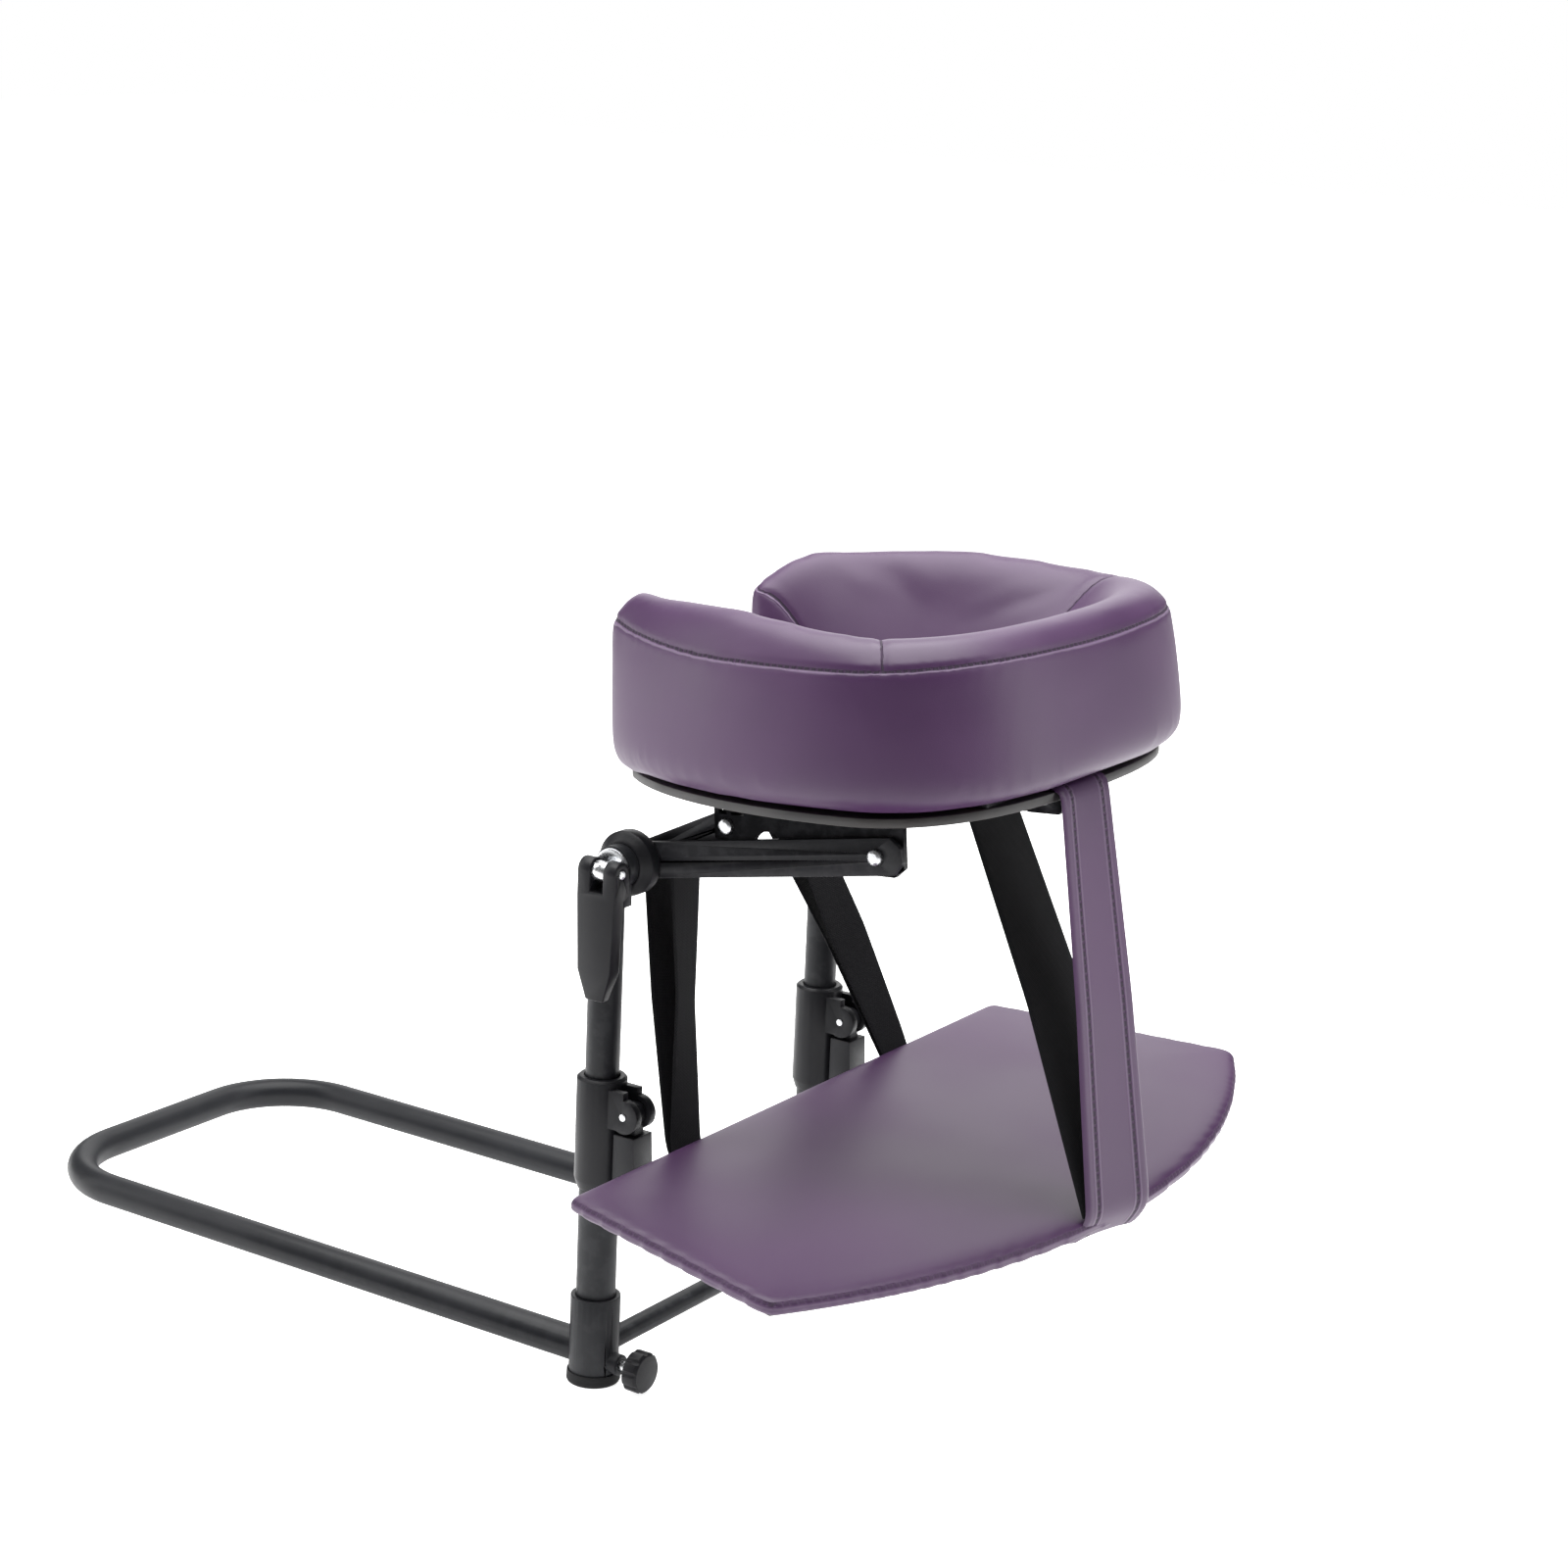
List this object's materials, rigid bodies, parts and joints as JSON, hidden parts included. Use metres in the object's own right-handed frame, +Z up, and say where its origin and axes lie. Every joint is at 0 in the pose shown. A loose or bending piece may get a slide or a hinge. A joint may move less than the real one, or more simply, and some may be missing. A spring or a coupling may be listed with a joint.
{
  "type": "massage face cradle",
  "caption": "Horseshoe face cushion on a tilting, height-adjustable cradle with a strap-hung arm rest, on a U-shaped base that slides under a mattress.",
  "frame": {"origin": "on the floor, midway between the two post feet", "axes": "+X away from the bed along the cradle, +Y towards the far post, +Z up"},
  "size_m": [0.7247, 0.498, 0.4645],
  "materials": {
    "frame_paint": "satin charcoal powder coat",
    "link_paint": "satin black powder coat",
    "black_plastic": "moulded, fine texture",
    "foot_rubber": "matte",
    "zinc": "bright zinc plate",
    "board": "plywood, black film face",
    "webbing": "woven polyester",
    "purple_leather": "fine-grain synthetic leather, satin",
    "foam": "open-cell foam"
  },
  "bodies": {
    "base": {"base_frame": "frame_paint", "cross_tube": "frame_paint", "base_sleeve_near": "frame_paint", "base_sleeve_far": "frame_paint", "foot_caps": "foot_rubber"},
    "knob_near": {"lock_knob_near": "black_plastic", "knob_stud_near": "zinc"},
    "knob_far": {"lock_knob_far": "black_plastic", "knob_stud_far": "zinc"},
    "lower_posts": {"lower_post_near": "frame_paint", "lower_post_far": "frame_paint", "clamp_collar_near": "black_plastic", "clamp_collar_far": "black_plastic", "clamp_pins": "zinc"},
    "clamp_lever_near": {"clamp_lever_near": "black_plastic"},
    "clamp_lever_far": {"clamp_lever_far": "black_plastic"},
    "upper_posts": {"upper_post_near": "frame_paint", "upper_post_far": "frame_paint", "saddle_disc_near": "black_plastic", "saddle_disc_far": "black_plastic", "cam_washer": "zinc", "rod_washer": "zinc", "rod_nut": "zinc"},
    "clamp_rod": {"pivot_rod": "zinc", "rod_rings": "zinc"},
    "cam_lever": {"cam_lever": "black_plastic", "cam_pin": "zinc"},
    "lift_arms": {"long_link_near": "link_paint", "long_link_far": "link_paint", "webbing_near": "webbing", "webbing_far": "webbing", "link_spacers": "zinc"},
    "cradle": {"bracket_near": "link_paint", "bracket_far": "link_paint", "pivot_screws": "zinc", "pivot_nuts": "zinc", "platform": "board", "platform_screws": "zinc", "hook_patches": "webbing", "front_strap": "purple_leather"},
    "short_links": {"short_link_near": "link_paint", "short_link_far": "link_paint"},
    "cushion": {"cushion_cover": "purple_leather", "cushion_foam": "foam"},
    "arm_pad": {"arm_pad": "purple_leather", "arm_board": "board", "strap_screws": "zinc"}
  },
  "joints": [
    {"name": "knob_near_turn", "type": "hinge", "parent": "base", "child": "knob_near", "pos_m": [0.0255, -0.10775, 0.013], "axis": [1, 0, 0], "range_deg": [-720, 0]},
    {"name": "knob_far_turn", "type": "hinge", "parent": "base", "child": "knob_far", "pos_m": [0.0255, 0.10775, 0.013], "axis": [1, 0, 0], "range_deg": [-720, 0]},
    {"name": "post_lift_out", "type": "slide", "parent": "base", "child": "lower_posts", "axis": [0, 0, 1], "range_m": [0, 0.06]},
    {"name": "clamp_near_flip", "type": "hinge", "parent": "lower_posts", "child": "clamp_lever_near", "pos_m": [0.021, -0.10775, 0.162], "axis": [0, -1, 0], "range_deg": [0, 54]},
    {"name": "clamp_far_flip", "type": "hinge", "parent": "lower_posts", "child": "clamp_lever_far", "pos_m": [0.021, 0.10775, 0.162], "axis": [0, -1, 0], "range_deg": [0, 54]},
    {"name": "post_height", "type": "slide", "parent": "lower_posts", "child": "upper_posts", "axis": [0, 0, 1], "range_m": [-0.025, 0.06], "stiffness_N_per_m": 20000},
    {"name": "rod_spin", "type": "hinge", "parent": "upper_posts", "child": "clamp_rod", "pos_m": [0.0055, 0, 0.299], "axis": [0, 1, 0], "range_deg": [-90, 90]},
    {"name": "cam_flip", "type": "hinge", "parent": "clamp_rod", "child": "cam_lever", "pos_m": [0.0055, -0.1197, 0.299], "axis": [-1, 0, 0], "range_deg": [0, 90]},
    {"name": "cradle_lift", "type": "hinge", "parent": "upper_posts", "child": "lift_arms", "pos_m": [0.0055, 0, 0.299], "axis": [0, -1, 0], "range_deg": [-3, 35], "stiffness_Nm_per_rad": 600},
    {"name": "cradle_tilt", "type": "hinge", "parent": "lift_arms", "child": "cradle", "pos_m": [0.15837, 0, 0.3301], "axis": [0, -1, 0], "range_deg": [-7, 1.5], "stiffness_Nm_per_rad": 300, "deforming": ["front_strap"]},
    {"name": "short_link_pivot", "type": "hinge", "parent": "cradle", "child": "short_links", "pos_m": [0.06198, 0, 0.32803], "axis": [0, -1, 0], "range_deg": [-4, 17]},
    {"name": "arm_pad_hang", "type": "hinge", "parent": "lift_arms", "child": "arm_pad", "pos_m": [0.056, 0, 0.1505], "axis": [0, -1, 0], "range_deg": [-4, 1]},
    {"name": "cushion_lift_off", "type": "slide", "parent": "cradle", "child": "cushion", "axis": [-0.0924, 0, 0.9957], "range_m": [0, 0.06]}
  ],
  "couplings": [
    {"joint": "short_link_pivot", "follows": "cradle_tilt", "ratio": -2.3409},
    {"joint": "arm_pad_hang", "follows": "cradle_tilt", "ratio": 0.5}
  ]
}
